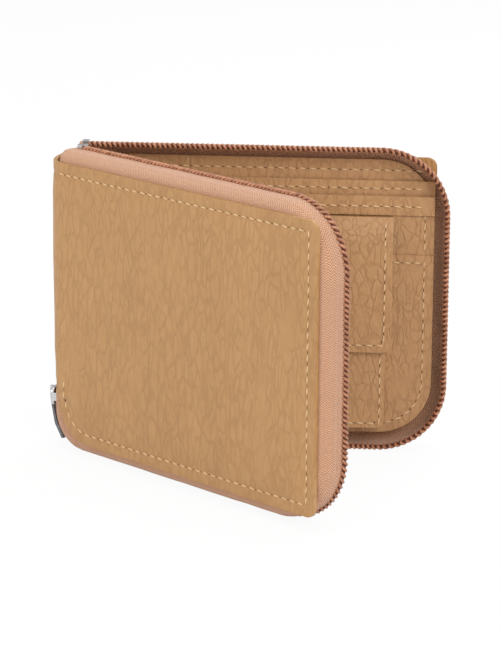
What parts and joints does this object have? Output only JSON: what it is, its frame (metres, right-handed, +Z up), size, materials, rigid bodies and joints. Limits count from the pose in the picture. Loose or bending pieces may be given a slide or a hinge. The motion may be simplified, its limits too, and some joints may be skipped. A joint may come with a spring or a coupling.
{
  "type": "zip around wallet",
  "caption": "Bifold leather wallet closed by a zip round three sides, with note pockets, card slots and a snap-flap coin pocket.",
  "frame": {"origin": "middle of the surface that the half-open wallet stands on, at the lower face of the zip", "axes": "+Z up along the creases; +X along the back leaf from the crease to its free end; +Y out of the back leaf's outer face"},
  "size_m": [0.1252, 0.0924, 0.0974],
  "materials": {
    "outer_leather": "satin",
    "inner_leather": "satin",
    "board": "matt",
    "lining": "matt",
    "tape": "woven",
    "coil": "satin",
    "nickel": "polished",
    "dark_nickel": "polished"
  },
  "bodies": {
    "back_leaf": {"cover_back": "outer_leather", "board_back": "board", "lining_back": "lining", "note_facing_back": "inner_leather", "note_divider_back": "inner_leather", "zip_tape_back": "tape", "zip_coil_back": "coil", "zip_stop_back": "nickel", "slot_tall": "inner_leather", "slot_band": "inner_leather", "slot_low": "inner_leather", "coin_gusset": "inner_leather", "coin_front": "inner_leather", "snap_stud": "nickel", "snap_rivet": "nickel"},
    "coin_flap": {"coin_flap": "inner_leather", "snap_socket": "nickel", "snap_cap": "nickel"},
    "spine": {"cover_spine": "outer_leather", "lining_spine": "lining", "end_tape_back": "tape", "end_tape_front": "tape", "end_coil_back": "coil", "end_coil_front": "coil", "zip_bottom_stop": "nickel"},
    "slider": {"slider_body": "nickel", "slider_bridge": "nickel"},
    "pull": {"pull_tab": "dark_nickel"},
    "front_leaf": {"cover_front": "outer_leather", "board_front": "board", "lining_front": "lining", "note_facing_front": "inner_leather", "note_divider_front": "inner_leather", "zip_tape_front": "tape", "zip_coil_front": "coil", "zip_stop_front": "nickel", "card_slot_1": "inner_leather", "card_slot_2": "inner_leather", "card_slot_3": "inner_leather"}
  },
  "joints": [
    {"name": "back_crease", "type": "hinge", "parent": "back_leaf", "child": "spine", "pos_m": [-0.054, 0.04559, 0.0486], "axis": [0, 0, -1], "range_deg": [-13.6, 76.4]},
    {"name": "front_crease", "type": "hinge", "parent": "spine", "child": "front_leaf", "pos_m": [-0.05847, 0.02712, 0.0486], "axis": [0, 0, -1], "range_deg": [-26.9, 63.1]},
    {"name": "slider_travel", "type": "slide", "parent": "spine", "child": "slider", "axis": [0, 0, -1], "range_m": [0, 0.004]},
    {"name": "pull_swing", "type": "hinge", "parent": "slider", "child": "pull", "pos_m": [-0.06119, 0.03755, 0.0168], "axis": [0.2351, 0.972, 0], "range_deg": [0, 150]},
    {"name": "flap_fold", "type": "hinge", "parent": "back_leaf", "child": "coin_flap", "pos_m": [0.01935, 0.04009, 0.0748], "axis": [-1, 0, 0], "range_deg": [0, 110]}
  ]
}
